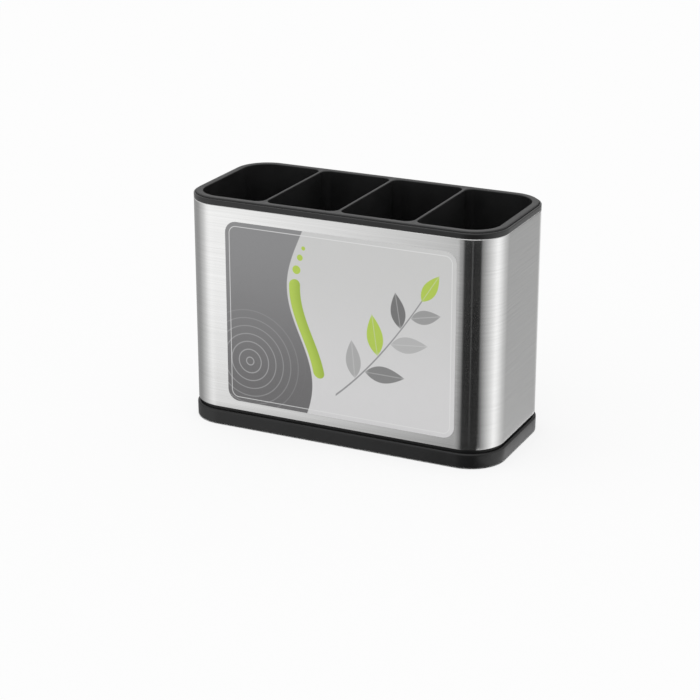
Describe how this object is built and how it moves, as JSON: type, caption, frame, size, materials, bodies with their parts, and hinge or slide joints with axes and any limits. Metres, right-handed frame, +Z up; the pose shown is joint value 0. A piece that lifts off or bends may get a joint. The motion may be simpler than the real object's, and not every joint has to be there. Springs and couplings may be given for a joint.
{
  "type": "utensil holder",
  "caption": "Rounded rectangular countertop utensil holder: brushed steel sleeve, lift-out divided black insert, drip tray on rubber feet with a pull-out drain spout.",
  "frame": {"origin": "on the counter below the middle of the tray", "axes": "+X along the length to the right seen from the front, -Y towards the front with the label, +Z up"},
  "size_m": [0.2238, 0.1018, 0.1582],
  "materials": {
    "brushed_steel": "brushed along the perimeter",
    "black_plastic": "satin moulded",
    "foot_rubber": "matte",
    "label_film": "printed film, satin"
  },
  "bodies": {
    "base": {"drip_tray": "black_plastic", "foot_front_left": "foot_rubber", "foot_front_right": "foot_rubber", "foot_back_left": "foot_rubber", "foot_back_right": "foot_rubber"},
    "spout": {"drain_spout": "black_plastic"},
    "shell": {"bottom_ring": "black_plastic", "steel_sleeve": "brushed_steel", "top_collar": "black_plastic", "front_label": "label_film"},
    "insert": {"cutlery_insert": "black_plastic"}
  },
  "joints": [
    {"name": "shell_lift", "type": "slide", "parent": "base", "child": "shell", "axis": [0, 0, 1], "range_m": [0, 0.05]},
    {"name": "insert_lift", "type": "slide", "parent": "shell", "child": "insert", "axis": [0, 0, 1], "range_m": [0, 0.15]},
    {"name": "spout_slide", "type": "slide", "parent": "base", "child": "spout", "axis": [0, 1, 0], "range_m": [0, 0.045]}
  ]
}
